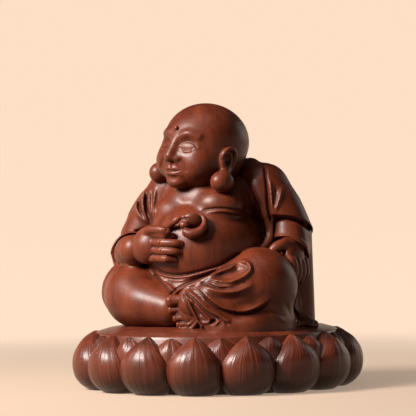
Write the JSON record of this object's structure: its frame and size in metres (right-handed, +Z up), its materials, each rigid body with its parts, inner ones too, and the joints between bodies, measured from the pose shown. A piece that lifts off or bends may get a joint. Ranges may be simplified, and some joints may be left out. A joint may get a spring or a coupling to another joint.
{
  "type": "laughing buddha carving",
  "caption": "Stout, bare-bellied seated monk in an open robe, holding a scroll-headed sceptre, on a round lotus seat; carved hardwood ornament.",
  "frame": {"origin": "centre of the lotus seat's flat underside", "axes": "+Z up, the figure faces -Y, so +X is the figure's left"},
  "size_m": [0.1506, 0.1506, 0.1447],
  "materials": {
    "seat_wood": "satin oiled rosewood",
    "figure_wood": "satin oiled rosewood",
    "dowel_wood": "plain beech"
  },
  "bodies": {
    "root": {"lotus_seat": "seat_wood", "seated_body": "figure_wood", "head": "figure_wood", "sceptre": "figure_wood", "right_dowel": "dowel_wood", "left_dowel": "dowel_wood"}
  },
  "joints": []
}
